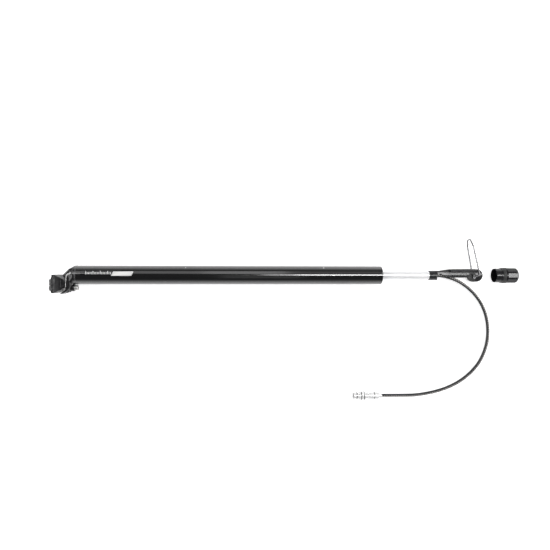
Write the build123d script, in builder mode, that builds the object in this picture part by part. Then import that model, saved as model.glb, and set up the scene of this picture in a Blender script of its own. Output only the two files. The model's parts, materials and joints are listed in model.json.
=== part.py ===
from math import atan, cos, degrees, radians, sin, sqrt, tan
import os

from build123d import *

os.makedirs("parts", exist_ok=True)

# Frame while drawing: the tube's lower end is at X = 0, +X runs down the post and out along the
# pump rod, +Y is the front of the bicycle when the post stands up, +Z is up from the floor.
# At the end the post is leaned so that it lies on its clamp, and everything is moved so that
# the origin is on the post's axis at the least insertion.

# Tube
tube_radius = 16.95
tube_wall = 2.5
tube_length = 550.0
tube_edge = 0.8
tube_end = -tube_length
least_insertion = 100.0
bore_radius = tube_radius - tube_wall
slip = 0.04

# Saddle clamp
clamp_rise = 30.5
clamp_x = tube_end - clamp_rise
clamp_y = -15.5
cradle_radius = 19.3
cradle_gap = 0.3
jaw_half_length = 16.0
jaw_front_cut = 8.4
jaw_rear_cut = 6.0
jaw_wing_height = 9.6
rail_radius = 3.5
rail_wall = 2.6
rail_half_spacing = 22.0
jaw_round = rail_radius + rail_wall
jaw_half_width = rail_half_spacing + jaw_round
core_half_width = 14.5
core_side_gap = 0.3
bolt_y = -22.8
bolt_radius = 3.0
bolt_hole_gap = 0.3
bolt_head_radius = 5.0
bolt_head_length = 6.0
bolt_socket_flats = 5.0
washer_radius = 6.2
washer_thickness = 5.0
seat_radius = 26.0
seat_front_y = -15.2
nut_radius = 4.2
nut_half_length = 8.0
nut_x = clamp_x - nut_radius - 0.4

# Head forging
neck_rise = 7.5
neck_front_y = 10.6
neck_rear_y = -24.9
neck_round = 4.0
neck_half_width = core_half_width - 0.5
horn_rise = 17.6
horn_front_y = 0.6
horn_rear_y = -28.0
saddle_rise = 23.5
saddle_y = -12.4
saddle_radius = 21.4
ear_rise = 22.8
ear_rear_y = saddle_y - saddle_radius
cradle_edge = 1.0
boss_rear_y = -31.0
spigot_length = 24.0
groove_depth = 1.6
seal_section = 1.5

# Guide at the lower end of the tube
guide_x = -84.0
guide_length = 16.0
rod_slip = 0.05
pin_x = -91.0
pin_radius = 1.2
clip_thickness = 1.5
clip_depth = 0.8
bumper_length = 5.0

# Piston and check valve
travel_out = 230.0
piston_length = 22.0
piston_gap = 0.25
port_radius = 1.5
ball_radius = 2.5
chamber_radius = 3.6
spring_wire = 0.25
spring_turns = 3.0

# Rod and foot
rod_radius = 8.0
rod_bore = 6.0
collar_x = 89.0
collar_radius = 8.9
collar_length = 17.0
collar_floor = 5.0
foot_radius = 12.2
foot_half_width = 9.0
foot_flat_y = -4.1
dip_y = 8.6
nest_y = 5.6
nest_length = 28.0
nest_depth = 10.0
trough_radius = 7.9
trough_y = -5.4
arm_start = 106.0
arm_end = 163.4
knuckle_x = 177.1
knuckle_radius = foot_radius + 0.1
knuckle_end = knuckle_x + knuckle_radius
peg_x = 174.3
peg_y = -2.9
peg_hole = 2.6
pivot_half_length = 7.6

# Wire peg
wire_radius = 1.25
wire_side_gap = 0.25
peg_reach = 71.0

# Hose and valve head
hose_radius = 3.0
hose_slip = 0.3
valve_x = -49.3
valve_y = -223.6
valve_length = 54.0
sleeve_radius = 7.75
valve_radius = 7.0
valve_bore = 4.0

# Cap
cap_x = 214.4
cap_plug_radius = 12.95
cap_bore_radius = 12.3
cap_ring_radius = 14.4
cap_grip_radius = 14.4
cap_plug_length = 11.0
cap_band_length = 9.6
cap_length = 42.4
cap_depth = 36.0
cap_flat_count = 8

# How the post lies: one edge of the clamp and the lower rim of the tube touch the floor.
lean = degrees(atan((jaw_half_width - tube_radius) / -clamp_x))
datum = Location(
    (least_insertion * cos(radians(lean)), 0, -least_insertion * sin(radians(lean)))
)
lying = datum * Location((0, 0, 0), (0, lean, 0))
floor_z = -tube_radius * cos(radians(lean)) - 0.02


def turned(points):
    with BuildPart() as body:
        with BuildSketch(Plane.XY):
            with BuildLine():
                Polyline(*points, close=True)
            make_face()
        revolve(axis=Axis.X)
    return body


# Post tube: open at both ends, a clip groove and two pin holes near the lower end.
with BuildPart() as post_tube:
    with BuildSketch(Plane.YZ.offset(tube_end)):
        Circle(tube_radius)
        Circle(bore_radius, mode=Mode.SUBTRACT)
    extrude(amount=tube_length)
    rim = post_tube.edges().filter_by(GeomType.CIRCLE).group_by(Axis.X)[-1]
    chamfer(rim, tube_edge)
    with BuildSketch(Plane.YZ.offset(guide_x)):
        Circle(bore_radius + clip_depth + slip)
    extrude(amount=clip_thickness + 0.1, mode=Mode.SUBTRACT)
    with BuildSketch(Plane.XY.offset(-tube_radius - 1)):
        with Locations((pin_x, 0)):
            Circle(pin_radius + slip)
    extrude(amount=2 * tube_radius + 2, mode=Mode.SUBTRACT)

# Head forging: plug in the tube, curved neck, cradle for the clamp, ear with the bolt's seat.
neck_x = tube_end - neck_rise
horn_x = tube_end - horn_rise
saddle_x = tube_end - saddle_rise
with BuildPart() as head_forging:
    # round saddle with a rolled rim, kept only behind the neck
    with BuildSketch(Plane.XZ.offset(-saddle_y)) as saddle_face:
        with Locations((saddle_x, 0)):
            Rectangle(saddle_radius, 2 * core_half_width, align=(Align.MIN, Align.CENTER))
        fillet(saddle_face.vertices().group_by(Axis.X)[-1], neck_round)
    revolve(axis=Axis((saddle_x, saddle_y, 0), (0, 0, 1)))
    with BuildSketch(Plane.XY.offset(-core_half_width)):
        with Locations((tube_end - ear_rise, horn_front_y - 1.6)):
            Rectangle(ear_rise, 60, align=(Align.MIN, Align.MAX))
    extrude(amount=2 * core_half_width, mode=Mode.INTERSECT)
    # neck from the tube's round end to the horn
    with BuildSketch(Plane.YZ.offset(tube_end)):
        Circle(tube_radius)
    with BuildSketch(Plane.YZ.offset(neck_x)):
        with Locations(((neck_front_y + neck_rear_y) / 2, 0)):
            RectangleRounded(neck_front_y - neck_rear_y, 2 * neck_half_width, neck_round)
    with BuildSketch(Plane.YZ.offset(horn_x)):
        with Locations(((horn_front_y + horn_rear_y) / 2, 0)):
            RectangleRounded(horn_front_y - horn_rear_y, 2 * neck_half_width, neck_round)
    loft(ruled=True)
    with BuildSketch(Plane.YZ.offset(tube_end)):
        Circle(bore_radius - slip)
    extrude(amount=spigot_length)
    plug_rim = head_forging.edges().filter_by(GeomType.CIRCLE).group_by(Axis.X)[-1]
    chamfer(plug_rim, 1)
    # round boss that carries the bolt's seat
    with BuildSketch(Plane.XY.offset(-washer_radius - 1.2)):
        with Locations((clamp_x, clamp_y)):
            Circle(seat_radius)
        with Locations((clamp_x + seat_radius / 2, (boss_rear_y + clamp_y) / 2)):
            Rectangle(seat_radius, clamp_y - boss_rear_y, mode=Mode.INTERSECT)
    extrude(amount=2 * washer_radius + 2.4)
    # cradle, with broken edges
    with BuildSketch(Plane.XY.offset(-core_half_width - 1)):
        with Locations((clamp_x, clamp_y)):
            Circle(cradle_radius)
    extrude(amount=2 * core_half_width + 2, mode=Mode.SUBTRACT)
    mouths = head_forging.edges().filter_by(GeomType.CIRCLE).filter_by(Plane.XY)
    chamfer([edge for edge in mouths if abs(edge.radius - cradle_radius) < 0.01], cradle_edge)
    # seat under the ear, struck from the cradle's own centre
    with BuildSketch(Plane.XY.offset(-washer_radius - 1.2)):
        with BuildLine():
            Polyline(
                (tube_end, seat_front_y),
                (tube_end - neck_rise - 4, seat_front_y),
                (tube_end - neck_rise - 4, ear_rear_y - 4),
                (tube_end, ear_rear_y - 4),
                close=True,
            )
        make_face()
        with Locations((clamp_x, clamp_y)):
            Circle(seat_radius, mode=Mode.SUBTRACT)
    extrude(amount=2 * washer_radius + 2.4, mode=Mode.SUBTRACT)
    # open slot for the bolt
    with BuildSketch(Plane.YZ.offset(clamp_x)):
        with Locations((bolt_y + bolt_radius + 1.6 - 10, 0)):
            Rectangle(20, 2 * (bolt_radius + bolt_hole_gap))
    extrude(amount=clamp_rise, mode=Mode.SUBTRACT)
    # groove for the seal
    with BuildSketch(Plane.XY):
        with Locations((tube_end + spigot_length - 7, bore_radius - groove_depth / 2)):
            Rectangle(seal_section + 0.4, groove_depth)
    revolve(axis=Axis.X, mode=Mode.SUBTRACT)

# Seal round the plug.
with BuildPart() as head_seal:
    with BuildSketch(Plane.XY):
        with Locations((tube_end + spigot_length - 7, bore_radius - seal_section / 2 - slip)):
            Circle(seal_section / 2)
    revolve(axis=Axis.X)

# Lower clamp half: round belly in the cradle, two wings that turn round the rail grooves.
jaw_front = clamp_y + jaw_half_length
with BuildPart() as lower_clamp:
    with BuildSketch(Plane.XY.offset(-core_half_width)):
        with Locations((clamp_x, clamp_y)):
            Circle(cradle_radius - cradle_gap)
        with Locations((clamp_x - 25, clamp_y)):
            Rectangle(50, 60, mode=Mode.SUBTRACT)
        with Locations((clamp_x, clamp_y)):
            Rectangle(60, 2 * jaw_half_length, mode=Mode.INTERSECT)
    extrude(amount=2 * core_half_width)
    for side in (1, -1):
        with BuildSketch(Plane.XZ.offset(-jaw_front)):
            with BuildLine():
                Polyline(
                    (clamp_x, side * (core_half_width + core_side_gap)),
                    (clamp_x + jaw_wing_height, side * (core_half_width + core_side_gap)),
                    (clamp_x + jaw_wing_height, side * (rail_half_spacing - 5.0)),
                    (clamp_x + jaw_round * 0.8, side * (rail_half_spacing + jaw_round * 0.6)),
                    (clamp_x, side * (rail_half_spacing + jaw_round * 0.6)),
                    close=True,
                )
            make_face()
            with Locations((clamp_x, side * rail_half_spacing)):
                Circle(jaw_round)
            with Locations((clamp_x - jaw_round, side * rail_half_spacing)):
                Rectangle(2 * jaw_round, 4 * jaw_round, mode=Mode.SUBTRACT)
        extrude(amount=2 * jaw_half_length)
    with BuildSketch(Plane.XY.offset(-rail_half_spacing)):
        with Locations((clamp_x + 2.5, clamp_y)):
            Rectangle(5, 2 * (jaw_half_length - 3))
    extrude(amount=2 * rail_half_spacing)
    for end in (1, -1):
        with BuildSketch(Plane.XY.offset(-jaw_half_width - 1)):
            with BuildLine():
                Polyline(
                    (clamp_x + 3.0, clamp_y + end * jaw_half_length),
                    (clamp_x + jaw_wing_height + 9.0, clamp_y + end * (jaw_half_length - 12)),
                    (clamp_x + jaw_wing_height + 9.0, clamp_y + end * (jaw_half_length + 2)),
                    (clamp_x + 3.0, clamp_y + end * (jaw_half_length + 2)),
                    close=True,
                )
            make_face()
        extrude(amount=2 * jaw_half_width + 2, mode=Mode.SUBTRACT)
    for side in (1, -1):
        with BuildSketch(Plane.XZ.offset(-jaw_front - 1)):
            with Locations((clamp_x, side * rail_half_spacing)):
                Circle(rail_radius)
        extrude(amount=2 * jaw_half_length + 2, mode=Mode.SUBTRACT)
    with BuildSketch(Plane.YZ.offset(clamp_x - 1)):
        with Locations((bolt_y, 0)):
            Circle(bolt_radius + bolt_hole_gap)
    extrude(amount=30, mode=Mode.SUBTRACT)

# Upper clamp half: bridge that turns round the rail grooves, two rounded humps on top.
with BuildPart() as upper_clamp:
    with BuildSketch(Plane.XZ.offset(-jaw_front)):
        with Locations((clamp_x - jaw_round / 2, 0)):
            Rectangle(jaw_round, 2 * rail_half_spacing)
        with Locations((clamp_x, rail_half_spacing), (clamp_x, -rail_half_spacing)):
            Circle(jaw_round)
        with Locations((clamp_x + jaw_round, 0)):
            Rectangle(2 * jaw_round, 3 * rail_half_spacing, mode=Mode.SUBTRACT)
    extrude(amount=2 * jaw_half_length)
    with BuildSketch(Plane.XY.offset(-core_half_width)):
        with Locations((clamp_x - jaw_round + 1.6, clamp_y + 3.2)):
            Circle(nut_radius + 0.8)
        with Locations((nut_x, bolt_y)):
            Circle(nut_radius + 1.3)
        with Locations((clamp_x + 10, clamp_y)):
            Rectangle(20, 60, mode=Mode.SUBTRACT)
    extrude(amount=2 * core_half_width)
    for end, cut in ((1, jaw_front_cut), (-1, jaw_rear_cut)):
        with BuildSketch(Plane.XY.offset(-jaw_half_width - 1)):
            with BuildLine():
                Polyline(
                    (clamp_x - 0.6, clamp_y + end * jaw_half_length),
                    (clamp_x - jaw_round - 0.6, clamp_y + end * (jaw_half_length - cut)),
                    (clamp_x - jaw_round - 0.6, clamp_y + end * (jaw_half_length + 2)),
                    (clamp_x - 0.6, clamp_y + end * (jaw_half_length + 2)),
                    close=True,
                )
            make_face()
        extrude(amount=2 * jaw_half_width + 2, mode=Mode.SUBTRACT)
    for side in (1, -1):
        with BuildSketch(Plane.XZ.offset(-jaw_front - 1)):
            with Locations((clamp_x, side * rail_half_spacing)):
                Circle(rail_radius)
        extrude(amount=2 * jaw_half_length + 2, mode=Mode.SUBTRACT)
    with BuildSketch(Plane.XY.offset(-nut_half_length - 0.2)):
        with Locations((nut_x, bolt_y)):
            Circle(nut_radius + slip)
    extrude(amount=2 * nut_half_length + 0.4, mode=Mode.SUBTRACT)
    with BuildSketch(Plane.YZ.offset(clamp_x + 1)):
        with Locations((bolt_y, 0)):
            Circle(bolt_radius + bolt_hole_gap)
    extrude(amount=-14, mode=Mode.SUBTRACT)

# Cross nut in the rear hump.
with BuildPart() as clamp_nut:
    with BuildSketch(Plane.XY.offset(-nut_half_length)):
        with Locations((nut_x, bolt_y)):
            Circle(nut_radius)
    extrude(amount=2 * nut_half_length)
    chamfer(clamp_nut.edges().filter_by(GeomType.CIRCLE), 0.5)
    with BuildSketch(Plane.YZ.offset(clamp_x + 2)):
        with Locations((bolt_y, 0)):
            Circle(bolt_radius + slip)
    extrude(amount=-14, mode=Mode.SUBTRACT)

# Washer with a hollow top that follows the seat under the ear.
seat_drop = clamp_x + sqrt((seat_radius + cradle_gap) ** 2 - (bolt_y - clamp_y) ** 2)
washer_end = seat_drop + washer_thickness
with BuildPart() as bolt_washer:
    with BuildSketch(Plane.YZ.offset(washer_end)):
        with Locations((bolt_y, 0)):
            Circle(washer_radius)
            Circle(bolt_radius + 0.1, mode=Mode.SUBTRACT)
    extrude(amount=-washer_thickness - 4)
    with BuildSketch(Plane.XY.offset(-washer_radius - 1)):
        with Locations((clamp_x, clamp_y)):
            Circle(seat_radius + cradle_gap)
    extrude(amount=2 * washer_radius + 2, mode=Mode.SUBTRACT)

# Bolt with a hexagon socket.
with BuildPart() as clamp_bolt:
    with BuildSketch(Plane.YZ.offset(washer_end)):
        with Locations((bolt_y, 0)):
            Circle(bolt_head_radius)
    extrude(amount=bolt_head_length)
    chamfer(clamp_bolt.edges().group_by(Axis.X)[-1], 0.6)
    with BuildSketch(Plane.YZ.offset(washer_end)):
        with Locations((bolt_y, 0)):
            Circle(bolt_radius)
    extrude(amount=nut_x - nut_radius - washer_end)
    with BuildSketch(Plane.YZ.offset(washer_end + bolt_head_length)):
        with Locations((bolt_y, 0)):
            RegularPolygon(bolt_socket_flats / 2, 6, major_radius=False)
    extrude(amount=-3.2, mode=Mode.SUBTRACT)

# Guide bushing: slides on the rod, held by two pins and a clip.
bushing_bore = rod_radius + rod_slip
with BuildPart() as guide_bushing:
    with BuildSketch(Plane.YZ.offset(guide_x)):
        Circle(bore_radius - slip)
        Circle(bushing_bore, mode=Mode.SUBTRACT)
    extrude(amount=-guide_length)
    chamfer(guide_bushing.edges().filter_by(GeomType.CIRCLE).group_by(Axis.X)[-1], 0.6)
    with BuildSketch(Plane.XY.offset(-tube_radius)):
        with Locations((pin_x, 0)):
            Circle(pin_radius + slip)
    extrude(amount=tube_radius - bushing_bore - 1.5, mode=Mode.SUBTRACT)
    with BuildSketch(Plane.XY.offset(tube_radius)):
        with Locations((pin_x, 0)):
            Circle(pin_radius + slip)
    extrude(amount=-tube_radius + bushing_bore + 1.5, mode=Mode.SUBTRACT)
    # groove for a wiper, near the outer end
    with BuildSketch(Plane.XY):
        with Locations((guide_x - guide_length + 4, bushing_bore + 0.5)):
            Rectangle(2.2, 1.6)
    revolve(axis=Axis.X, mode=Mode.SUBTRACT)


def pin_body(side):
    with BuildPart() as pin:
        with BuildSketch(Plane.XY.offset(side * (bushing_bore + 1.6))):
            with Locations((pin_x, 0)):
                Circle(pin_radius)
        extrude(amount=side * (tube_radius - 0.4 - bushing_bore - 1.6))
        chamfer(pin.edges().filter_by(GeomType.CIRCLE), 0.25)
    return pin


guide_pin_upper = pin_body(1)
guide_pin_lower = pin_body(-1)

# Wiper ring in the bushing.
with BuildPart() as rod_wiper:
    with BuildSketch(Plane.XY):
        with Locations((guide_x - guide_length + 4, bushing_bore + 0.62)):
            Rectangle(2.0, 1.24)
    revolve(axis=Axis.X)
    chamfer(rod_wiper.edges().filter_by(GeomType.CIRCLE).sort_by(SortBy.RADIUS)[:2], 0.4)

# Spring clip below the bushing, with a gap and two ears.
with BuildPart() as guide_clip:
    with BuildSketch(Plane.YZ.offset(guide_x + 0.05)):
        Circle(bore_radius + clip_depth)
        Circle(bore_radius - 1.6, mode=Mode.SUBTRACT)
        with Locations((0, -bore_radius)):
            Rectangle(7, 6, mode=Mode.SUBTRACT)
        for side in (1, -1):
            with Locations((side * 5.2, -bore_radius + 2.6)):
                Circle(2.1)
                Circle(0.7, mode=Mode.SUBTRACT)
    extrude(amount=clip_thickness)

# Rubber stop above the bushing.
with BuildPart() as bumper:
    with BuildSketch(Plane.YZ.offset(guide_x - guide_length)):
        Circle(bore_radius - slip)
        Circle(rod_radius + 0.5, mode=Mode.SUBTRACT)
    extrude(amount=-bumper_length)
    chamfer(bumper.edges().filter_by(GeomType.CIRCLE).group_by(Axis.X)[0], 1)

# Piston: screwed on the rod's inner end, seal groove outside, check valve inside.
piston_front = guide_x - guide_length - bumper_length - travel_out
piston_back = piston_front - piston_length
seat_x = piston_back + 6
piston = turned(
    [
        (piston_back, port_radius),
        (piston_back, bore_radius - piston_gap - 1),
        (piston_back + 1, bore_radius - piston_gap),
        (piston_back + 4, bore_radius - piston_gap),
        (piston_back + 4, bore_radius - 2.6),
        (piston_back + 8, bore_radius - 2.6),
        (piston_back + 8, bore_radius - piston_gap),
        (piston_back + 13, bore_radius - piston_gap),
        (piston_back + 14.5, rod_radius + 3),
        (piston_front, rod_radius + 2),
        (piston_front, rod_radius + slip),
        (piston_front - 5, rod_radius + slip),
        (piston_front - 5, chamber_radius),
        (seat_x + 2.1, chamber_radius),
        (seat_x, port_radius),
    ]
)

# Cup seal of the piston.
piston_seal = turned(
    [
        (piston_back + 4.1, bore_radius - 2.55),
        (piston_back + 4.1, bore_radius - 0.7),
        (piston_back + 4.6, bore_radius - 0.06),
        (piston_back + 5.4, bore_radius - 0.06),
        (piston_back + 6.6, bore_radius - 0.5),
        (piston_back + 7.9, bore_radius - 0.5),
        (piston_back + 7.9, bore_radius - 2.55),
    ]
)

# Check ball, just off its cone.
cone_angle = atan((chamber_radius - port_radius) / 2.1)
ball_x = seat_x + (ball_radius + 0.03) / sin(cone_angle) - port_radius / tan(cone_angle)
with BuildPart() as check_ball:
    with Locations((ball_x, 0, 0)):
        Sphere(ball_radius)

# Conical coil spring behind the ball.
spring_start = ball_x + ball_radius + 0.35
plug_x = piston_front - 5 + 0.05
spring_height = plug_x - spring_start - spring_wire - 0.2
spring_pitch = spring_height / spring_turns
spring_mean = chamber_radius - spring_wire - 0.6
with BuildPart() as check_spring:
    with BuildLine():
        coil = Helix(spring_pitch, spring_height, spring_mean, (spring_start, 0, 0), (1, 0, 0))
    with BuildSketch(Plane(origin=coil @ 0, z_dir=coil % 0)):
        Circle(spring_wire)
    sweep()
print("spring: wire radius", spring_wire, "least gap", round(spring_pitch - 2 * spring_wire, 2))

# Pump rod: a tube from the piston to the foot.
rod_end = collar_x + collar_length - collar_floor
with BuildPart() as pump_rod:
    with BuildSketch(Plane.YZ.offset(plug_x + 0.02)):
        Circle(rod_radius)
        Circle(rod_bore, mode=Mode.SUBTRACT)
    extrude(amount=rod_end - plug_x - 0.04)
    chamfer(pump_rod.edges().filter_by(GeomType.CIRCLE).sort_by(SortBy.RADIUS)[-2:], 0.4)

# Perforated stop for the spring, in the inner end of the rod.
with BuildPart() as spring_plug:
    with BuildSketch(Plane.YZ.offset(plug_x + 0.05)):
        Circle(rod_bore - slip)
        Circle(1.2, mode=Mode.SUBTRACT)
        with PolarLocations(3.7, 5):
            Circle(0.9, mode=Mode.SUBTRACT)
    extrude(amount=4)

# Foot: collar on the rod, thin arm with a trough for the valve head, knuckle for the wire peg.
with BuildPart() as foot:
    with BuildSketch(Plane.YZ.offset(collar_x)):
        Circle(collar_radius)
    extrude(amount=collar_length)
    chamfer(foot.edges().filter_by(GeomType.CIRCLE).group_by(Axis.X)[0], 1)
    with BuildSketch(Plane.YZ.offset(arm_start - 2)):
        Circle(foot_radius)
        with Locations((-50 + foot_flat_y, 0)):
            Rectangle(100, 2 * foot_radius + 10, mode=Mode.SUBTRACT)
        Rectangle(2 * foot_radius + 2, 2 * foot_half_width, mode=Mode.INTERSECT)
    extrude(amount=arm_end - arm_start + 3)
    with BuildSketch(Plane.YZ.offset(arm_end)):
        Circle(foot_radius)
        Rectangle(2 * foot_radius + 2, 2 * foot_half_width, mode=Mode.INTERSECT)
    extrude(amount=knuckle_end - arm_end)
    # profile of the front edge: dip behind the collar, then a ramp
    with BuildSketch(Plane.XY.offset(-foot_radius)):
        with BuildLine():
            Polyline(
                (arm_start - 5.5, foot_radius + 1),
                (arm_start - 5.5, collar_radius),
                (arm_start - 4, dip_y),
                (arm_start + 4.5, dip_y),
                (arm_start + 21.2, foot_radius - 0.9),
                (arm_start + 32.7, foot_radius + 0.1),
                (arm_start + 32.7, foot_radius + 1),
                close=True,
            )
        make_face()
    extrude(amount=2 * foot_radius, mode=Mode.SUBTRACT)
    # rod socket, hose hole, trough
    with BuildSketch(Plane.YZ.offset(collar_x - 1)):
        Circle(rod_radius + slip)
    extrude(amount=collar_length - collar_floor + 1.02, mode=Mode.SUBTRACT)
    with BuildSketch(Plane.YZ.offset(rod_end - 1)):
        Circle(hose_radius + hose_slip)
    extrude(amount=collar_floor + 12, mode=Mode.SUBTRACT)
    with BuildSketch(Plane.YZ.offset(arm_start)):
        with Locations((trough_y, 0)):
            Circle(trough_radius)
    extrude(amount=arm_end - arm_start, mode=Mode.SUBTRACT)
    # window through which the hose leaves upwards and downwards
    for side in (1, -1):
        with BuildSketch(Plane.XY.offset(side * (foot_half_width + 1))):
            with Locations((arm_start + 7, -5)):
                SlotOverall(21, 12, rotation=-22)
        extrude(amount=-side * 8, mode=Mode.SUBTRACT)
    # nests for the folded wire beside the ramp
    for side in (1, -1):
        with BuildSketch(Plane.XY.offset(side * 2.4)):
            with Locations((arm_start + 9, nest_y + nest_depth / 2)):
                Rectangle(nest_length, nest_depth)
        extrude(amount=side * 12, mode=Mode.SUBTRACT)
    # pivot hole, recess beside the hub
    with BuildSketch(Plane.XY.offset(-foot_half_width - 1)):
        with Locations((peg_x, peg_y)):
            Circle(peg_hole)
    extrude(amount=2 * foot_half_width + 2, mode=Mode.SUBTRACT)
    for side in (1, -1):
        with BuildSketch(Plane.XY.offset(side * (foot_half_width + 1))):
            with Locations((peg_x - 7.4, peg_y + 0.9)):
                RectangleRounded(8.6, 9.2, 2)
        extrude(amount=-side * 4, mode=Mode.SUBTRACT)
    # knuckle rounded about the pivot's direction, at its end and below the arm
    with BuildSketch(Plane.XY.offset(-foot_half_width - 1)):
        with Locations((knuckle_x, 0)):
            Rectangle(20, 40, align=(Align.MIN, Align.CENTER))
        with Locations((knuckle_x, foot_flat_y)):
            Rectangle(20, 20, align=(Align.MAX, Align.MAX))
        with Locations((knuckle_x, 0)):
            Circle(knuckle_radius, mode=Mode.SUBTRACT)
    extrude(amount=2 * foot_half_width + 2, mode=Mode.SUBTRACT)

# Inner fitting of the hose, and its ring, at the outer end of the rod.
hose_stop = turned(
    [
        (rod_end - 16, 1.5),
        (rod_end - 16, 4.6),
        (rod_end - 14.5, rod_bore - slip),
        (rod_end - 8, rod_bore - slip),
        (rod_end - 8, rod_bore - 1.5),
        (rod_end - 5.6, rod_bore - 1.5),
        (rod_end - 5.6, rod_bore - slip),
        (rod_end - 0.05, rod_bore - slip),
        (rod_end - 0.05, hose_radius + 0.05),
        (rod_end - 9, hose_radius + 0.05),
        (rod_end - 9, 1.5),
    ]
)
hose_stop_ring = turned(
    [
        (rod_end - 7.8, rod_bore - 1.45),
        (rod_end - 7.8, rod_bore - 0.1),
        (rod_end - 5.8, rod_bore - 0.1),
        (rod_end - 5.8, rod_bore - 1.45),
    ]
)

# Pivot tube of the wire peg, in the knuckle.
with BuildPart() as peg_pivot:
    with BuildSketch(Plane.XY.offset(-pivot_half_length)):
        with Locations((peg_x, peg_y)):
            Circle(peg_hole - rod_slip)
            Circle(wire_radius + slip, mode=Mode.SUBTRACT)
    extrude(amount=2 * pivot_half_length)

# Wire peg: one wire, both ends turned into the pivot tube.
wire_z = foot_half_width + wire_side_gap + wire_radius
tip_y = peg_y + peg_reach - wire_radius
wire_bend = 3.0
wire_points = [
    (peg_x, peg_y, 0.6),
    (peg_x, peg_y, wire_z),
    (peg_x + 8.8, peg_y + 3.6, wire_z),
    (peg_x - 3.6, tip_y - 13, wire_z),
    (peg_x - 6.2, tip_y, 3.6),
    (peg_x - 7.8, tip_y - 0.6, -3.6),
    (peg_x - 4.9, tip_y - 13, -wire_z),
    (peg_x + 3.8, peg_y + 8, -wire_z),
    (peg_x, peg_y, -wire_z),
    (peg_x, peg_y, -0.6),
]
with BuildPart() as wire_peg:
    with BuildLine():
        peg_line = FilletPolyline(*wire_points, radius=[2.4, 3, 3, 2.6, 2.6, 3, 3, 2.4])
    with BuildSketch(Plane(origin=peg_line @ 0, z_dir=peg_line % 0)):
        Circle(wire_radius)
    sweep(transition=Transition.RIGHT)

# Hose: leaves the collar on the rod's axis, drops to the floor and loops back to the valve head.
hose_z = floor_z + hose_radius + 0.02
valve_z = floor_z + sleeve_radius + 0.02


def on_axis(x):
    return (x * cos(radians(lean)), 0.0, -x * sin(radians(lean)))


hose_points = [
    on_axis(rod_end - 5),
    on_axis(arm_start + 6),
    (129.6, -3.9, -3.8),
    (149.5, -11.6, -6.4),
    (173.9, -29.0, -9.7),
    (193.0, -51.7, -12.3),
    (204.1, -78.2, hose_z + 0.4),
    (207.3, -106.4, hose_z),
    (204.0, -133.5, hose_z),
    (192.4, -160.9, hose_z),
    (173.9, -182.9, hose_z),
    (151.1, -200.2, hose_z),
    (124.9, -212.3, hose_z),
    (97.2, -219.9, hose_z),
    (68.9, -224.4, hose_z + 0.3),
    (44.2, -224.5, -12.2),
    (20.0, valve_y, valve_z),
    (valve_x + 45, valve_y, valve_z),
]
hose_runs = [(Vector(*b) - Vector(*a)) for a, b in zip(hose_points, hose_points[1:])]
hose_bends = [
    0.45 * min(a.length, b.length) / tan(radians(a.get_angle(b)) / 2)
    for a, b in zip(hose_runs, hose_runs[1:])
]
with BuildPart() as hose:
    with BuildLine():
        hose_line = FilletPolyline(*hose_points, radius=hose_bends)
    with BuildSketch(Plane(origin=hose_line @ 0, z_dir=hose_line % 0)):
        Circle(hose_radius)
    sweep()
print("hose: radius", hose_radius, "length", round(hose_line.length, 1))
print("hose bends:", [round(r, 1) for r in hose_bends])
print("hose volume ratio:", round(hose.part.volume / (3.14159265 * hose_radius**2 * hose_line.length), 4))

# Valve head, drawn along +X from its tip, then put at the end of the hose.
at_valve = Location((valve_x, valve_y, valve_z))
valve_body = turned(
    [
        (9.3, 1.6),
        (9.3, 5.0),
        (11.4, 5.0),
        (11.4, 5.5),
        (23.2, 5.5),
        (23.2, 5.0),
        (27.6, 5.0),
        (28.2, valve_radius),
        (38.2, valve_radius),
        (38.6, valve_radius - 0.5),
        (39.2, valve_radius - 0.5),
        (39.6, valve_radius),
        (47.0, valve_radius),
        (48.0, valve_radius - 1),
        (48.0, 4.55),
        (43.0, 4.55),
        (43.0, 1.6),
    ]
)
valve_tip = turned(
    [
        (0.0, valve_bore + 0.7),
        (0.0, 5.3),
        (0.6, 5.85),
        (6.0, 5.85),
        (6.2, 5.3),
        (6.9, 5.3),
        (7.1, 5.85),
        (9.2, 5.85),
        (9.2, valve_bore + 1.2),
        (1.8, valve_bore + 1.2),
        (1.8, valve_bore + 0.2),
        (0.5, valve_bore + 0.2),
    ]
)
valve_gasket = turned(
    [
        (1.9, valve_bore),
        (1.9, valve_bore + 1.15),
        (9.1, valve_bore + 1.15),
        (9.1, valve_bore),
    ]
)

# Locking sleeve with two grooves and a fluted grip.
with BuildPart() as lock_sleeve:
    with BuildSketch(Plane.XY):
        with BuildLine():
            Polyline(
                (11.5, 5.55),
                (11.5, sleeve_radius - 0.5),
                (12.0, sleeve_radius),
                (13.8, sleeve_radius),
                (14.2, sleeve_radius - 0.9),
                (15.0, sleeve_radius - 0.9),
                (15.4, sleeve_radius),
                (18.9, sleeve_radius),
                (19.3, sleeve_radius - 0.9),
                (20.1, sleeve_radius - 0.9),
                (20.5, sleeve_radius),
                (22.3, sleeve_radius),
                (22.8, sleeve_radius - 0.5),
                (22.8, 5.55),
                close=True,
            )
        make_face()
    revolve(axis=Axis.X)
    with BuildSketch(Plane.YZ.offset(15.4)):
        with PolarLocations(sleeve_radius + 0.15, 24):
            Circle(0.5)
    extrude(amount=3.5, mode=Mode.SUBTRACT)

# Ferrule crimped round the hose, in the back of the valve body.
hose_ferrule = turned(
    [
        (43.1, hose_radius + 0.04),
        (43.1, 4.5),
        (49.0, 4.5),
        (49.4, 4.1),
        (50.2, 4.1),
        (50.6, 4.5),
        (52.4, 4.5),
        (53.0, 4.0),
        (53.0, hose_radius + 0.04),
    ]
)

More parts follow.
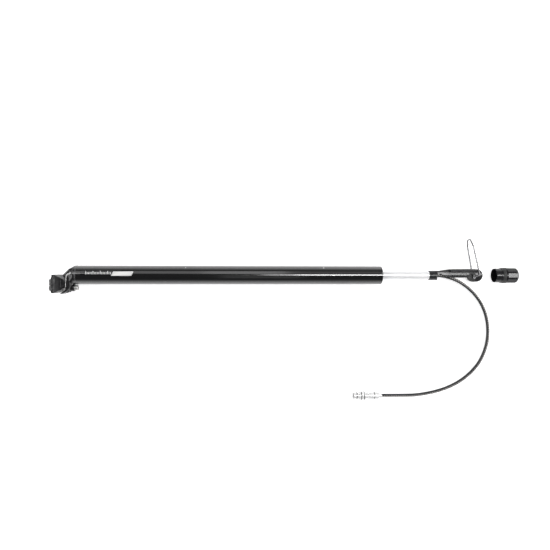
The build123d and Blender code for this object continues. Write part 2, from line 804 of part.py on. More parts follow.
# Cap: hollow plug, ring groove, eight-sided grip with a rounded end.
cap_z = floor_z + cap_ring_radius + 0.04
at_cap = Location((cap_x, 0, cap_z))
ring_start = cap_plug_length + 2
ring_end = cap_plug_length + cap_band_length - 2
grip_start = cap_plug_length + cap_band_length
with BuildPart() as cap_shell:
    with BuildSketch(Plane.XY):
        with BuildLine():
            Polyline(
                (0, cap_bore_radius + 0.3),
                (0, cap_plug_radius - 0.2),
                (0.4, cap_plug_radius),
                (cap_plug_length, cap_plug_radius),
                (cap_plug_length, cap_grip_radius - 0.7),
                (ring_start, cap_grip_radius - 0.7),
                (ring_start, cap_plug_radius - 0.6 + 0.3),
                (ring_end, cap_plug_radius - 0.6 + 0.3),
                (ring_end, cap_grip_radius - 0.7),
                (grip_start, cap_grip_radius - 0.7),
                (grip_start, cap_grip_radius),
                (cap_length - 4, cap_grip_radius),
                (cap_length - 1.2, cap_grip_radius - 1.5),
                (cap_length, cap_grip_radius - 5),
                (cap_length, 0),
                (cap_depth, 0),
                (cap_depth, cap_bore_radius - 2),
                (cap_depth - 2, cap_bore_radius),
                (0.3, cap_bore_radius),
                close=True,
            )
        make_face()
    revolve(axis=Axis.X)
    with BuildSketch(Plane.YZ.offset(grip_start + 0.8)):
        Circle(cap_grip_radius + 3)
        RegularPolygon(cap_grip_radius - 0.5, cap_flat_count, major_radius=False, mode=Mode.SUBTRACT)
    extrude(amount=cap_length, mode=Mode.SUBTRACT)
cap_ring = turned(
    [
        (ring_start + 0.1, cap_plug_radius - 0.25),
        (ring_start + 0.1, cap_ring_radius - 0.9),
        (ring_start + 1.0, cap_ring_radius),
        (ring_end - 1.0, cap_ring_radius),
        (ring_end - 0.1, cap_ring_radius - 0.9),
        (ring_end - 0.1, cap_plug_radius - 0.25),
    ]
)

leaned = {
    "post_tube": post_tube,
    "head_forging": head_forging,
    "head_seal": head_seal,
    "lower_clamp": lower_clamp,
    "upper_clamp": upper_clamp,
    "clamp_nut": clamp_nut,
    "bolt_washer": bolt_washer,
    "clamp_bolt": clamp_bolt,
    "guide_bushing": guide_bushing,
    "guide_pin_upper": guide_pin_upper,
    "guide_pin_lower": guide_pin_lower,
    "rod_wiper": rod_wiper,
    "guide_clip": guide_clip,
    "bumper": bumper,
    "piston": piston,
    "piston_seal": piston_seal,
    "check_ball": check_ball,
    "check_spring": check_spring,
    "spring_plug": spring_plug,
    "pump_rod": pump_rod,
    "foot": foot,
    "hose_stop": hose_stop,
    "hose_stop_ring": hose_stop_ring,
    "peg_pivot": peg_pivot,
    "wire_peg": wire_peg,
}
on_floor = {
    "hose": (hose, Location()),
    "hose_ferrule": (hose_ferrule, at_valve),
    "valve_body": (valve_body, at_valve),
    "valve_tip": (valve_tip, at_valve),
    "valve_gasket": (valve_gasket, at_valve),
    "lock_sleeve": (lock_sleeve, at_valve),
    "cap_shell": (cap_shell, at_cap),
    "cap_ring": (cap_ring, at_cap),
}
placed = {name: (body, lying) for name, body in leaned.items()}
placed.update({name: (body, datum * place) for name, (body, place) in on_floor.items()})
for name, (body, place) in placed.items():
    body.part.label = name
    body.part.move(place)
    export_step(body.part, f"parts/{name}.step")
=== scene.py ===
import json
import math

import bmesh
import bpy
from mathutils import Matrix, Vector, noise


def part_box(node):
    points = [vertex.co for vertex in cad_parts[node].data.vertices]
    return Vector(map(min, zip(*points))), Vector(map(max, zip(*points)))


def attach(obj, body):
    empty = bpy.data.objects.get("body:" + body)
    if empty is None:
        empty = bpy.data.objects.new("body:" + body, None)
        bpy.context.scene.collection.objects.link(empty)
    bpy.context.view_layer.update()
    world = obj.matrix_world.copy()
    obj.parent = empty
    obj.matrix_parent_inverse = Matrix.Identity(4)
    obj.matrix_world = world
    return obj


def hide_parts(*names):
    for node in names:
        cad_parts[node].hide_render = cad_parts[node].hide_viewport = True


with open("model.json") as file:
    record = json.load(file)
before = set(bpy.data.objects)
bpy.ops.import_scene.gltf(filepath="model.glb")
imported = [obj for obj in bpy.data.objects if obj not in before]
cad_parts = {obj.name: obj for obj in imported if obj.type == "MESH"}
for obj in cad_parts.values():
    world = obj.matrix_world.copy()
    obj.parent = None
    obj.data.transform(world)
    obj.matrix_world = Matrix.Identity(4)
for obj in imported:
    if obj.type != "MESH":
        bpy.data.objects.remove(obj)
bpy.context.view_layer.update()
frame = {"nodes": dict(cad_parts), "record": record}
nodes = frame["nodes"]

# The post leans a little, because its clamp is wider than its tube and both rest on the floor.
LEAN = math.radians(1.100378)
LEAN_TURN = Matrix.Rotation(LEAN, 3, "Y")
DATUM = Vector((0.1 * math.cos(LEAN), 0.0, -0.1 * math.sin(LEAN)))
FLOOR_Z = -0.018887


def on_post(x, y, z):
    """A point drawn straight along the post, in mm from the tube's lower end, where the leaned post has it."""
    return LEAN_TURN @ Vector((x / 1000, y / 1000, z / 1000)) + DATUM


# Camera: above the part, a little left of its middle, turned as the photo's.
IMAGE = 550
FOCAL = 510.0
SENSOR_WIDTH = 36.0
CAMERA_PLACE = (-0.14138, 0.00023, 0.92741)
CAMERA_TURN = 0.00132
CAMERA_TILT = -0.04951

camera_data = bpy.data.cameras.new("camera")
camera_data.sensor_fit = "HORIZONTAL"
camera_data.sensor_width = SENSOR_WIDTH
camera_data.lens = FOCAL / IMAGE * SENSOR_WIDTH
camera_data.clip_start = 0.01
camera_data.clip_end = 50.0
camera = bpy.data.objects.new("camera", camera_data)
bpy.context.scene.collection.objects.link(camera)
facing = Matrix.Rotation(CAMERA_TURN, 4, "Z") @ Matrix.Rotation(CAMERA_TILT, 4, "Y")
camera.matrix_world = Matrix.Translation(CAMERA_PLACE) @ facing
bpy.context.scene.camera = camera
bpy.context.scene.view_settings.view_transform = "Standard"

# Materials
EVEN = (1, 1, 1)
DRAWN = (0.03, 1, 1)
FINELY_DRAWN = (0.02, 1, 1)


class Shade:
    """A node material built step by step round one Principled shader."""

    def __init__(self, name, color, metallic=0.0, roughness=0.4, ior=1.5, coat=0.0, coat_roughness=0.05):
        self.mat = bpy.data.materials.new(name)
        self.mat.use_nodes = True
        self.tree = self.mat.node_tree
        self.shader = self.tree.nodes["Principled BSDF"]
        self.shader.inputs["Base Color"].default_value = (*color, 1.0)
        self.shader.inputs["Metallic"].default_value = metallic
        self.shader.inputs["Roughness"].default_value = roughness
        self.shader.inputs["IOR"].default_value = ior
        self.shader.inputs["Coat Weight"].default_value = coat
        self.shader.inputs["Coat Roughness"].default_value = coat_roughness
        self.color = color
        self.coords = None
        self.height = None

    def node(self, kind, **values):
        made = self.tree.nodes.new(kind)
        for key, value in values.items():
            setattr(made, key, value)
        return made

    def link(self, a, b):
        self.tree.links.new(a, b)

    def place(self, kind):
        """Where a point is: "Object" in metres, or "UV"."""
        if self.coords is None:
            self.coords = self.node("ShaderNodeTexCoord")
        return self.coords.outputs[kind]

    def noise(self, scale, stretch=EVEN, detail=3.0):
        mapping = self.node("ShaderNodeMapping")
        mapping.inputs["Scale"].default_value = stretch
        self.link(self.place("Object"), mapping.inputs["Vector"])
        made = self.node("ShaderNodeTexNoise")
        made.inputs["Scale"].default_value = scale
        made.inputs["Detail"].default_value = detail
        self.link(mapping.outputs["Vector"], made.inputs["Vector"])
        return made.outputs["Fac"]

    def math(self, operation, *values):
        """A math node; each value is a number or another node's output."""
        made = self.node("ShaderNodeMath", operation=operation)
        for socket, value in zip(made.inputs, values):
            if isinstance(value, (int, float)):
                socket.default_value = value
            else:
                self.link(value, socket)
        return made.outputs["Value"]

    def ramp(self, fac, low, high, start, end):
        """Runs from low to high while fac runs from start to end."""
        made = self.node("ShaderNodeMapRange")
        made.inputs["From Min"].default_value = start
        made.inputs["From Max"].default_value = end
        made.inputs["To Min"].default_value = low
        made.inputs["To Max"].default_value = high
        self.link(fac, made.inputs["Value"])
        return made.outputs["Result"]

    def vary_color(self, fac, other, start=0.3, end=0.7):
        made = self.node("ShaderNodeMix", data_type="RGBA")
        made.inputs["A"].default_value = (*self.color, 1.0)
        made.inputs["B"].default_value = (*other, 1.0)
        self.link(self.ramp(fac, 0.0, 1.0, start, end), made.inputs["Factor"])
        self.link(made.outputs["Result"], self.shader.inputs["Base Color"])

    def vary_roughness(self, fac, low, high):
        self.link(self.ramp(fac, low, high, 0.3, 0.7), self.shader.inputs["Roughness"])

    def bump(self, fac, strength, distance):
        """Relief on top of any that is there; the distance is in metres."""
        made = self.node("ShaderNodeBump")
        made.inputs["Strength"].default_value = strength
        made.inputs["Distance"].default_value = distance
        self.link(fac, made.inputs["Height"])
        if self.height is not None:
            self.link(self.height, made.inputs["Normal"])
        self.height = made.outputs["Normal"]
        self.link(self.height, self.shader.inputs["Normal"])


def anodised(name, color, lighter, roughness):
    """Clear-coated black with fine draw marks along the tube."""
    s = Shade(name, color, roughness=roughness, ior=1.7, coat=1.0, coat_roughness=0.1)
    s.vary_color(s.noise(40), lighter)
    s.vary_roughness(s.noise(900, FINELY_DRAWN, detail=4.0), roughness * 0.85, roughness * 1.2)
    s.bump(s.noise(2600, DRAWN, detail=2.0), strength=0.05, distance=0.00005)
    return s.mat


def forged(name, color, lighter, roughness):
    """Painted forging."""
    s = Shade(name, color, roughness=roughness, coat=0.3, coat_roughness=0.15)
    s.vary_color(s.noise(60), lighter)
    s.vary_roughness(s.noise(300), roughness * 0.85, roughness * 1.25)
    s.bump(s.noise(1500), strength=0.08, distance=0.00008)
    return s.mat


def metal(name, color, lighter, roughness, stretch=DRAWN, metallic=1.0):
    """Bare or plated metal with tool marks."""
    s = Shade(name, color, metallic, roughness)
    s.vary_color(s.noise(80), lighter)
    s.vary_roughness(s.noise(1200, stretch, detail=4.0), roughness * 0.8, roughness * 1.25)
    s.bump(s.noise(3000, stretch, detail=2.0), strength=0.08, distance=0.00004)
    return s.mat


def moulded(name, color, lighter, roughness, grain=1400):
    """Moulded plastic or rubber."""
    s = Shade(name, color, roughness=roughness)
    s.vary_color(s.noise(120), lighter)
    s.vary_roughness(s.noise(500), roughness * 0.85, roughness * 1.15)
    s.bump(s.noise(grain, detail=2.0), strength=0.16, distance=0.00008)
    return s.mat


def cast(name, color, lighter, roughness):
    """Painted rough casting."""
    s = Shade(name, color, roughness=roughness, ior=1.45)
    s.vary_color(s.noise(350), lighter)
    s.vary_roughness(s.noise(500), roughness * 0.8, roughness * 1.3)
    s.bump(s.noise(320, detail=2.0), strength=0.3, distance=0.0005)
    s.bump(s.noise(1500), strength=0.12, distance=0.00008)
    return s.mat


BRAID_PITCH = 0.0044
BRAID_TURN = 6 * math.pi
# the painted highlight: the angle round the hose where it lies, and its pale colour
BRAID_LIT_SIDE = 1.70 * math.pi
BRAID_HIGHLIGHT = (0.62, 0.6, 0.58)


def braided(name):
    """Black braid: raised strands both ways round, paler on one side round the hose as a painted highlight."""
    s = Shade(name, (0.01, 0.01, 0.011), roughness=0.42)
    uv = s.node("ShaderNodeSeparateXYZ")
    s.link(s.place("UV"), uv.inputs["Vector"])

    def wave(turns, length, shift=0.0):
        """cos(turns * v + length * u + shift)"""
        along = s.math("MULTIPLY_ADD", uv.outputs["X"], length, shift)
        return s.math("COSINE", s.math("MULTIPLY_ADD", uv.outputs["Y"], turns, along))

    step = 2 * math.pi / BRAID_PITCH
    weave = s.math("MAXIMUM", wave(BRAID_TURN, step), wave(-BRAID_TURN, step))
    # painted highlight: the raised strands made paler on one side round the hose
    lit_side = s.ramp(wave(2 * math.pi, 0.0, -BRAID_LIT_SIDE), 0.0, 1.0, 0.25, 0.75)
    painted_highlight = s.math("MULTIPLY", s.ramp(weave, 0.0, 0.9, 0.12, 1.0), lit_side)
    s.vary_color(painted_highlight, BRAID_HIGHLIGHT, 0.0, 1.0)
    s.bump(weave, strength=0.5, distance=0.00015)
    s.bump(s.noise(2600), strength=0.25, distance=0.00008)
    return s.mat


# kind of surface, its colour, the colour it varies towards, its roughness, then what the kind takes besides
SURFACES = {
    "black_anodised": (anodised, (0.003, 0.003, 0.0035), (0.005, 0.005, 0.0055), 0.13),
    "black_forging": (forged, (0.006, 0.006, 0.007), (0.01, 0.01, 0.011), 0.26),
    "black_clamp": (cast, (0.006, 0.006, 0.007), (0.012, 0.012, 0.013), 0.34),
    "bolt_steel": (metal, (0.8, 0.79, 0.78), (0.7, 0.69, 0.68), 0.33),
    "rod_silver": (metal, (0.93, 0.93, 0.94), (0.88, 0.88, 0.89), 0.4, DRAWN, 0.45),
    "foot_plastic": (moulded, (0.012, 0.012, 0.013), (0.02, 0.02, 0.021), 0.24),
    "guide_plastic": (moulded, (0.7, 0.69, 0.66), (0.62, 0.61, 0.58), 0.45),
    "piston_plastic": (moulded, (0.03, 0.03, 0.033), (0.05, 0.05, 0.055), 0.4),
    "rubber_black": (moulded, (0.015, 0.015, 0.015), (0.03, 0.03, 0.03), 0.6, 900),
    "wire_steel": (metal, (0.2, 0.2, 0.205), (0.15, 0.15, 0.155), 0.28, EVEN),
    "hose_black": (braided,),
    "valve_silver": (metal, (0.95, 0.95, 0.95), (0.9, 0.9, 0.9), 0.3, DRAWN, 0.4),
    "brass": (metal, (0.72, 0.55, 0.26), (0.62, 0.46, 0.2), 0.25),
    "ball_steel": (metal, (0.75, 0.75, 0.76), (0.7, 0.7, 0.71), 0.12, EVEN),
    # pale metal for the painted highlight along the head's cradle edge
    "machined_edge": (metal, (0.5, 0.5, 0.5), (0.42, 0.42, 0.42), 0.45, EVEN),
    "cap_plastic": (moulded, (0.008, 0.008, 0.009), (0.012, 0.012, 0.013), 0.2, 900),
}
MATERIALS = {name: kind(name, *look) for name, (kind, *look) in SURFACES.items()}

# Each node takes its slot's material, apart from two that the photo shows darker.
DARKER = {"peg_pivot": "wire_steel", "bolt_washer": "black_forging"}
slots = {p["node"]: p["material_slot"] for p in frame["record"]["subparts"]}
for name, obj in nodes.items():
    obj.data.materials.clear()
    obj.data.materials.append(MATERIALS[DARKER.get(name, slots[name])])


# Meshes
def around(sides):
    """The angles of a ring's corners."""
    return [2 * math.pi * k / sides for k in range(sides)]


def bridge(bm, rings, closed=False):
    """Smooth faces from each ring of vertices to the next, and from the last to the first where it is closed."""
    faces = []
    for a, b in zip(rings, rings[1:] + rings[:1] if closed else rings[1:]):
        for k in range(len(a)):
            n = (k + 1) % len(a)
            face = bm.faces.new((a[k], a[n], b[n], b[k]))
            face.smooth = True
            faces.append(face)
    return faces


def cap_ends(bm, rings):
    bm.faces.new(list(reversed(rings[0])))
    bm.faces.new(rings[-1])


def as_object(name, bm, sharp_degrees=None):
    """The finished mesh as an object in the scene, with its edges over the given angle sharp."""
    mesh = bpy.data.meshes.new(name)
    bm.to_mesh(mesh)
    bm.free()
    if sharp_degrees is not None:
        mesh.set_sharp_from_angle(angle=math.radians(sharp_degrees))
    obj = bpy.data.objects.new(name, mesh)
    bpy.context.scene.collection.objects.link(obj)
    return obj


# Hose
HOSE_POINTS = [
    (0.19596, 0.00000, -0.00376),
    (0.21196, 0.00000, -0.00407),
    (0.23034, -0.00390, -0.00572),
    (0.25100, -0.01160, -0.00832),
    (0.27578, -0.02900, -0.01162),
    (0.29488, -0.05170, -0.01422),
    (0.30598, -0.07820, -0.01547),
    (0.30918, -0.10640, -0.01587),
    (0.30588, -0.13350, -0.01587),
    (0.29428, -0.16170, -0.01587),
    (0.27578, -0.18370, -0.01587),
    (0.25298, -0.20100, -0.01587),
    (0.22678, -0.21310, -0.01587),
    (0.19870, -0.22054, -0.01587),
    (0.16964, -0.22472, -0.01557),
    (0.14418, -0.22450, -0.01412),
    (0.11998, -0.22360, -0.01112),
    (0.09568, -0.22360, -0.01112),
]
HOSE_RADIUS = 0.003
HOSE_STEPS = 8


def route(points):
    """The evaluated line of a NURBS curve with these control points."""
    data = bpy.data.curves.new("route", "CURVE")
    data.dimensions = "3D"
    data.resolution_u = HOSE_STEPS
    spline = data.splines.new("NURBS")
    spline.points.add(len(points) - 1)
    for point, place in zip(spline.points, points):
        point.co = (*place, 1.0)
    spline.order_u = 3
    spline.use_endpoint_u = True
    carrier = bpy.data.objects.new("route", data)
    bpy.context.scene.collection.objects.link(carrier)
    bpy.context.view_layer.update()
    mesh = bpy.data.meshes.new_from_object(carrier.evaluated_get(bpy.context.evaluated_depsgraph_get()))
    line = [v.co.copy() for v in mesh.vertices]
    bpy.data.meshes.remove(mesh)
    bpy.data.objects.remove(carrier)
    bpy.data.curves.remove(data)
    return line


def tube_along(name, line, radius, sides=20):
    """A closed tube round the line, with UV: u along it in metres, v round it."""
    bm = bmesh.new()
    uv = bm.loops.layers.uv.new("UVMap")
    side = Vector((0, 0, 1))
    rings = []
    runs = [0.0]
    for i, at in enumerate(line):
        ahead = (line[min(i + 1, len(line) - 1)] - line[max(i - 1, 0)]).normalized()
        side = (side - ahead * side.dot(ahead)).normalized()
        other = ahead.cross(side)
        if i:
            runs.append(runs[-1] + (at - line[i - 1]).length)
        rings.append([
            bm.verts.new(at + (side * math.cos(a) + other * math.sin(a)) * radius)
            for a in around(sides)
        ])
    for number, face in enumerate(bridge(bm, rings)):
        i, k = divmod(number, sides)
        corners = ((i, k), (i, k + 1), (i + 1, k + 1), (i + 1, k))
        for loop, (row, corner) in zip(face.loops, corners):
            loop[uv].uv = (runs[row], corner / sides)
    cap_ends(bm, rings)
    bm.normal_update()
    return as_object(name, bm)


hose_line = route(HOSE_POINTS)
hose = tube_along("hose_braided", hose_line, HOSE_RADIUS)
hose.data.materials.append(MATERIALS["hose_black"])
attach(hose, "rod")
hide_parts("hose")

# Dark rings in the valve head's grooves, painted shade that darkens the grooves: place along the head, radius and
# half thickness in mm, and the body
VALVE_TIP = Vector((0.05068, -0.2236, -0.01112))
VALVE_GROOVE_SHADE = (
    (0.35, 5.2, 0.42, "rod"),
    (6.55, 5.55, 0.75, "rod"),
    (14.6, 7.15, 0.5, "sleeve"),
    (19.7, 7.15, 0.5, "sleeve"),
    (38.9, 6.65, 0.4, "rod"),
)


def ring(name, centre, reach, size, body, slot, steps=48, sides=12):
    """A round ring about the X direction."""
    along_x = Vector((1, 0, 0))
    bm = bmesh.new()
    centres = [centre + Vector((0, reach * math.cos(a), reach * math.sin(a))) for a in around(steps)]
    rings = []
    for i, at in enumerate(centres):
        ahead = (centres[(i + 1) % len(centres)] - centres[i - 1]).normalized()
        other = ahead.cross(along_x).normalized()
        rings.append([
            bm.verts.new(at + (along_x * math.cos(a) + other * math.sin(a)) * size)
            for a in around(sides)
        ])
    bridge(bm, rings, closed=True)
    bmesh.ops.recalc_face_normals(bm, faces=bm.faces)
    obj = as_object(name, bm)
    obj.data.materials.append(MATERIALS[slot])
    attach(obj, body)
    return obj


# each a rubber black ring: painted shade in its groove
valve_groove_shade = [
    ring(f"valve_ring_{i}", VALVE_TIP + Vector((x / 1000, 0, 0)), reach / 1000, size / 1000, body, "rubber_black")
    for i, (x, reach, size, body) in enumerate(VALVE_GROOVE_SHADE)
]

# Generic white marks on the tube: graduation ticks, a plain slanted bar and two flecks, in mm
paint = Shade("white_paint", (0.82, 0.82, 0.81), roughness=0.45)
paint.vary_color(paint.noise(900), (0.74, 0.74, 0.73), 0.35, 0.75)
paint.bump(paint.noise(2500), strength=0.1, distance=0.00003)
SKIN_RADIUS = 16.965
SKIN_THICKNESS = 0.00002
TICK_COUNT = 18
TICK_START, TICK_STEP, TICK_WIDTH, TICK_FOOT = -527.6, 2.5, 1.1, 1.2
SHORT_TICK, TALL_TICK = 3.6, 5.6
FLECK_WIDTH, FLECK_LOW, FLECK_HIGH = 1.4, 12.6, 14.0


def tube_patch(name, x0, x1, y0, y1, slant=0.0, steps=6):
    """A thin skin on the tube between two places along it and two heights across it, in mm."""
    bm = bmesh.new()
    rows = []
    for i in range(steps + 1):
        y = y0 + (y1 - y0) * i / steps
        z = math.sqrt(SKIN_RADIUS * SKIN_RADIUS - y * y)
        shift = slant * i / steps
        rows.append([bm.verts.new(on_post(x + shift, y, z)) for x in (x0, x1)])
    for a, b in zip(rows, rows[1:]):
        bm.faces.new((a[0], a[1], b[1], b[0])).smooth = True
    bm.normal_update()
    obj = as_object(name, bm)
    thick = obj.modifiers.new("skin", "SOLIDIFY")
    thick.thickness = SKIN_THICKNESS
    thick.offset = 1.0
    obj.data.materials.append(paint.mat)
    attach(obj, "post")


for i in range(TICK_COUNT):
    start = TICK_START + i * TICK_STEP
    tall = TALL_TICK if i % 5 == 0 else SHORT_TICK
    tube_patch(f"tick_{i}", start, start + TICK_WIDTH, TICK_FOOT, TICK_FOOT + tall)
tube_patch("white_bar", -484, -449, -1.6, 6.2, slant=4.0)
for name, start in (("fleck_1", -356.0), ("fleck_2", -109.0)):
    tube_patch(name, start, start + FLECK_WIDTH, FLECK_LOW, FLECK_HIGH)

# The band at the tube's seam, in grey steel whose colour paints a highlight there: a section along the post and out
# from its axis, in mm
SEAM_PROFILE = ((-546.9, 16.9), (-546.8, 17.0), (-546.3, 17.08), (-545.4, 17.08), (-544.9, 17.0), (-544.8, 16.9))


def seam_ring(sides=128):
    """A low band round the end of the tube, where the head is pressed in; its grey steel colour is a painted
    highlight.
    """
    bm = bmesh.new()
    rings = [
        [bm.verts.new(on_post(x, r * math.cos(a), r * math.sin(a))) for x, r in SEAM_PROFILE]
        for a in around(sides)
    ]
    bridge(bm, rings, closed=True)
    bmesh.ops.recalc_face_normals(bm, faces=bm.faces)
    obj = as_object("seam_ring", bm, sharp_degrees=10)
    # grey steel on the black seam: painted highlight
    obj.data.materials.append(MATERIALS["wire_steel"])
    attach(obj, "post")


seam_ring()

# A pale metal strip from the tube's end round the cradle, a painted highlight along its edge: places on the head's
# side with half widths, in mm
EDGE_SPOTS = (
    (-548.8, 3.4, 16.2, 0.2),
    (-552.5, 3.2, 15.1, 1.0),
    (-556.0, 2.2, 14.4, 1.6),
    (-559.3, 0.0, 14.4, 1.5),
    (-561.0, -3.5, 14.4, 1.1),
    (-561.6, -8.5, 14.5, 0.8),
    (-561.6, -14.0, 14.5, 0.6),
    (-561.8, -19.5, 14.5, 0.6),
    (-562.9, -24.5, 14.5, 0.6),
    (-565.0, -28.6, 14.5, 0.4),
)
EDGE_RISE = 0.45
# across, as a share of the half width, and out, as a share of the rise
EDGE_SECTION = (
    (-1, -0.8), (-1, 0.0), (-0.75, 0.5), (-0.4, 0.85), (0, 1), (0.4, 0.85), (0.75, 0.5), (1, 0.0), (1, -0.8),
)


def smoothed(spots):
    """The line of places with its corners cut twice over, ends kept."""
    for _ in range(2):
        cut = [spots[0]]
        for a, b in zip(spots, spots[1:]):
            cut.append(tuple(p * 0.75 + q * 0.25 for p, q in zip(a, b)))
            cut.append(tuple(p * 0.25 + q * 0.75 for p, q in zip(a, b)))
        cut.append(spots[-1])
        spots = cut
    return spots


def cradle_edge(name, outward):
    """A low dome along the cradle's edge, on the head's upper side (outward 1) or lower side (-1), in pale metal as a
    painted highlight.
    """
    spots = smoothed([(x, y, outward * z, half) for x, y, z, half in EDGE_SPOTS])
    bm = bmesh.new()
    rings = []
    for i, (x, y, z, half) in enumerate(spots):
        ahead = Vector(spots[min(i + 1, len(spots) - 1)][:2]) - Vector(spots[max(i - 1, 0)][:2])
        across = Vector((-ahead.y, ahead.x)).normalized() * half
        rings.append([
            bm.verts.new(on_post(x + across.x * s, y + across.y * s, z + outward * EDGE_RISE * h))
            for s, h in EDGE_SECTION
        ])
    bridge(bm, rings)
    cap_ends(bm, rings)
    bmesh.ops.recalc_face_normals(bm, faces=bm.faces)
    obj = as_object(name, bm, sharp_degrees=60)
    # pale metal on the black head: painted highlight
    obj.data.materials.append(MATERIALS["machined_edge"])
    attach(obj, "post")


cradle_edge("cradle_edge_upper", 1)
cradle_edge("cradle_edge_lower", -1)

# Clamp halves
CAST_VOXEL = 0.0006
CAST_SCALE = 260
WING_START = 0.0145
HUMPS = ((-19.0, -7.0), (-27.5, -20.2))
HUMP_TOP, HUMP_FOOT = -587.0, -582.0
WING_FRONT, WING_FRONT_X = -4, -580.9


def two_humps(y):
    """How far left the upper clamp's wings reach at a height across the post, in mm: two rounded humps."""
    for low, high in HUMPS:
        if low <= y <= high:
            middle, half = (low + high) / 2, (high - low) / 2
            return HUMP_FOOT + (HUMP_TOP - HUMP_FOOT) * math.sqrt(max(0.0, 1 - ((y - middle) / half) ** 4))
    return HUMP_FOOT if y < WING_FRONT else WING_FRONT_X


def recast(node, body, slot, lumps, trim=None):
    """A copy of a node as a rough casting: evenly faceted, pushed in and out by noise, its wings trimmed if asked."""
    bm = bmesh.new()
    bm.from_mesh(nodes[node].data)
    bmesh.ops.remove_doubles(bm, verts=bm.verts, dist=1e-6)
    obj = as_object(node + "_cast", bm)
    even = obj.modifiers.new("even", "REMESH")
    even.mode = "VOXEL"
    even.voxel_size = CAST_VOXEL
    bpy.context.view_layer.update()
    made = bpy.data.meshes.new_from_object(obj.evaluated_get(bpy.context.evaluated_depsgraph_get()))
    obj.modifiers.clear()
    obj.data = made
    if trim:
        back = LEAN_TURN.transposed()
        along_post = LEAN_TURN @ Vector((1, 0, 0))
        for v in made.vertices:
            at = back @ (v.co - DATUM)
            least = trim(at.y * 1000) / 1000
            if abs(at.z) > WING_START and at.x < least:
                v.co += (least - at.x) * along_post
    # slow, because each normal is worked out again after the pushes before it
    for v in made.vertices:
        push = noise.noise(v.co * CAST_SCALE)
        v.co += v.normal * push * lumps
    for polygon in made.polygons:
        polygon.use_smooth = True
    obj.data.materials.clear()
    obj.data.materials.append(MATERIALS[slot])
    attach(obj, body)
    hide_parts(node)


recast("upper_clamp", "clamp_top", "black_forging", 0.0002, two_humps)
recast("lower_clamp", "clamp", "black_clamp", 0.0004)

# Cap: half of the angle between two of its eight flats
CAP_TURN = math.radians(22.5)


def turned_cap():
    """The cap turned on its own axis, so that a flat faces up."""
    low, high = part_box("cap_shell")
    axis = Vector((0.0, (low[1] + high[1]) / 2, (low[2] + high[2]) / 2))
    turn = Matrix.Rotation(CAP_TURN, 4, "X")
    mesh = nodes["cap_shell"].data.copy()
    mesh.name = "cap_turned"
    mesh.transform(Matrix.Translation(axis) @ turn @ Matrix.Translation(-axis))
    obj = bpy.data.objects.new("cap_turned", mesh)
    bpy.context.scene.collection.objects.link(obj)
    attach(obj, "cap")
    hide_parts("cap_shell")


turned_cap()

# Foot, in metres: its flat sides fall away from the crest as the square of the distance, times the crown
FOOT_HALF_WIDTH = 0.009
FOOT_ARM_START = 0.2055
FOOT_CROWN = 17.0
FOOT_CREST = 0.0018
# strips across the post, a millimetre wide
FOOT_STRIPS = [step / 1000 for step in range(-12, 10)]
# how straight up a face has to look, as a cosine, to be part of the sides or the trough's floor
SIDE_COSINE = 0.999
TROUGH_COSINE = 0.99
# a matte black patch on the knuckle, painted shade for the shadowed pocket there: along the post and up to a height
# across it
HUB_SHADE_SPAN = (0.2640, 0.2760)
HUB_SHADE_TOP = 0.0050
# the dark floor of the trough, out from the middle and from a height across the post
TROUGH_RISE = 0.004
TROUGH_START = 0.005


def crowned_foot():
    """A copy of the foot whose flat sides are crowned: cut into strips, then drawn in away from the crest."""
    up = LEAN_TURN @ Vector((0, 0, 1))
    bm = bmesh.new()
    bm.from_mesh(nodes["foot"].data)
    for y in FOOT_STRIPS:
        parts = {}
        for f in bm.faces:
            rise = abs((f.calc_center_median() - DATUM).dot(up))
            if abs(f.normal.dot(up)) > SIDE_COSINE and rise > FOOT_HALF_WIDTH - 0.0001:
                parts.update(dict.fromkeys((f, *f.edges, *f.verts)))
        bmesh.ops.bisect_plane(bm, geom=list(parts), dist=1e-6, plane_co=(0, y, 0), plane_no=(0, 1, 0))
    for x in HUB_SHADE_SPAN:
        everything = list(bm.verts) + list(bm.edges) + list(bm.faces)
        bmesh.ops.bisect_plane(bm, geom=everything, dist=1e-6, plane_co=(x, 0, 0), plane_no=(1, 0, 0))
    for v in bm.verts:
        rise = (v.co - DATUM).dot(up)
        limit = FOOT_HALF_WIDTH - FOOT_CROWN * (v.co.y - FOOT_CREST) ** 2
        if abs(rise) > limit and v.co.x > FOOT_ARM_START:
            v.co -= up * (rise - math.copysign(limit, rise))
    bm.normal_update()
    for f in bm.faces:
        f.smooth = True
        middle = f.calc_center_median()
        rise = abs((middle - DATUM).dot(up))
        in_trough = abs(f.normal.dot(up)) > TROUGH_COSINE and rise < TROUGH_RISE and middle.y > TROUGH_START
        # painted shade: the matte black patch on the knuckle's hub
        in_hub_shade = HUB_SHADE_SPAN[0] < middle.x < HUB_SHADE_SPAN[1] and middle.y < HUB_SHADE_TOP
        if in_trough or in_hub_shade:
            f.material_index = 1
    obj = as_object("foot_crowned", bm, sharp_degrees=24)
    obj.data.materials.append(MATERIALS["foot_plastic"])
    obj.data.materials.append(MATERIALS["rubber_black"])
    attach(obj, "rod")
    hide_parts("foot")


crowned_foot()

# Floor: white, and lit a little by itself where it is the background or is seen in metal
FLOOR_REACH = 3.0
FLOOR_GAP = 0.0002
FLOOR_GLOW = (("Is Camera Ray", 0.62), ("Is Glossy Ray", 0.4), ("Is Transmission Ray", 0.4))

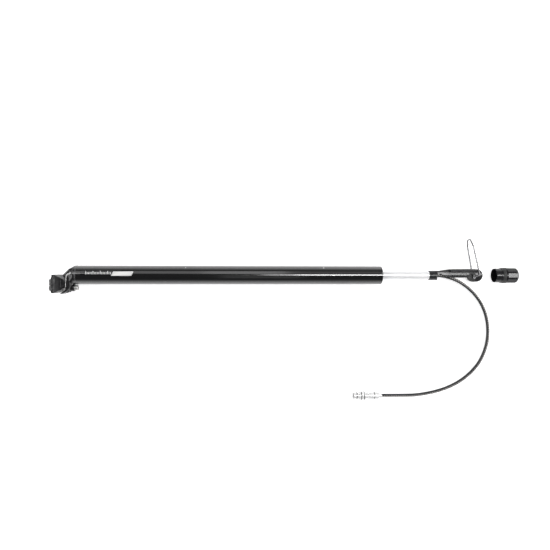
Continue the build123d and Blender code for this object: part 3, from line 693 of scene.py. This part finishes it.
bm = bmesh.new()
bm.faces.new([
    bm.verts.new((x * FLOOR_REACH, y * FLOOR_REACH, FLOOR_Z - FLOOR_GAP))
    for x, y in ((-1, -1), (1, -1), (1, 1), (-1, 1))
])
floor = as_object("floor", bm)
floor_shade = Shade("floor_white", (0.86, 0.86, 0.86), roughness=0.9)
floor_shade.shader.inputs["Specular IOR Level"].default_value = 0.1
floor_shade.shader.inputs["Emission Color"].default_value = (1, 1, 1, 1)
rays = floor_shade.node("ShaderNodeLightPath")
seen, in_gloss, through = (
    floor_shade.math("MULTIPLY", rays.outputs[kind], strength) for kind, strength in FLOOR_GLOW
)
glow = floor_shade.math("MAXIMUM", floor_shade.math("MAXIMUM", seen, in_gloss), through)
floor_shade.link(glow, floor_shade.shader.inputs["Emission Strength"])
floor.data.materials.append(floor_shade.mat)

# World: white at the horizon and dim overhead, by the sine of the height above the horizon
SKY_STOPS = ((0.1, 1.0), (0.3, 0.42), (0.55, 0.07))

world = bpy.data.worlds.new("world")
bpy.context.scene.world = world
world.use_nodes = True
sky = world.node_tree
coords = sky.nodes.new("ShaderNodeTexCoord")
direction = sky.nodes.new("ShaderNodeSeparateXYZ")
sky.links.new(coords.outputs["Generated"], direction.inputs["Vector"])
shade = sky.nodes.new("ShaderNodeValToRGB")
sky.links.new(direction.outputs["Z"], shade.inputs["Fac"])
sky.links.new(shade.outputs["Color"], sky.nodes["Background"].inputs["Color"])
stops = shade.color_ramp.elements
stops.new(0.5)
for stop, (position, level) in zip(stops, SKY_STOPS):
    stop.position = position
    stop.color = (level, level, level, 1)

# Lamps: name, place, aim, size and radiance, 1 being white
LAMPS = (
    ("strip", (0.76, 0.08, 1.5), (0.76, 0.08, 0.0), (1.24, 0.22), 17.0),
    ("strip_fade", (0.06, 0.1, 1.5), (0.06, 0.1, 0.0), (0.16, 0.36), 4.0),
    ("strip_left", (-2.24, 0.5, 1.45), (-2.24, 0.1, 0.0), (2.73, 0.22), 4.5),
    ("panel_left", (-0.625, 0.8, 1.2), (-0.625, 0.0, 0.0), (0.65, 0.75), 0.75),
    ("panel_middle", (-0.11, 0.8, 1.2), (-0.11, 0.0, 0.0), (0.38, 0.75), 1.25),
    ("panel_right", (0.64, 0.8, 1.2), (0.64, 0.0, 0.0), (1.12, 0.75), 0.35),
    ("panel_front", (-0.04, -0.45, 1.2), (-0.04, 0.0, 0.0), (0.35, 0.9), 0.22),
    ("end_left", (-1.9, -0.3, 1.3), (-0.1, -0.3, 0.0), (2.6, 1.0), 2.8),
    ("end_right", (1.9, -0.2, 1.3), (-0.1, -0.2, 0.0), (2.4, 1.0), 2.0),
)
for name, place, aim, size, radiance in LAMPS:
    data = bpy.data.lights.new(name, "AREA")
    data.shape = "RECTANGLE"
    data.size, data.size_y = size
    data.energy = radiance * math.pi * size[0] * size[1]
    lamp = bpy.data.objects.new(name, data)
    bpy.context.scene.collection.objects.link(lamp)
    lamp.location = place
    lamp.rotation_euler = (Vector(aim) - Vector(place)).to_track_quat("-Z", "Y").to_euler()
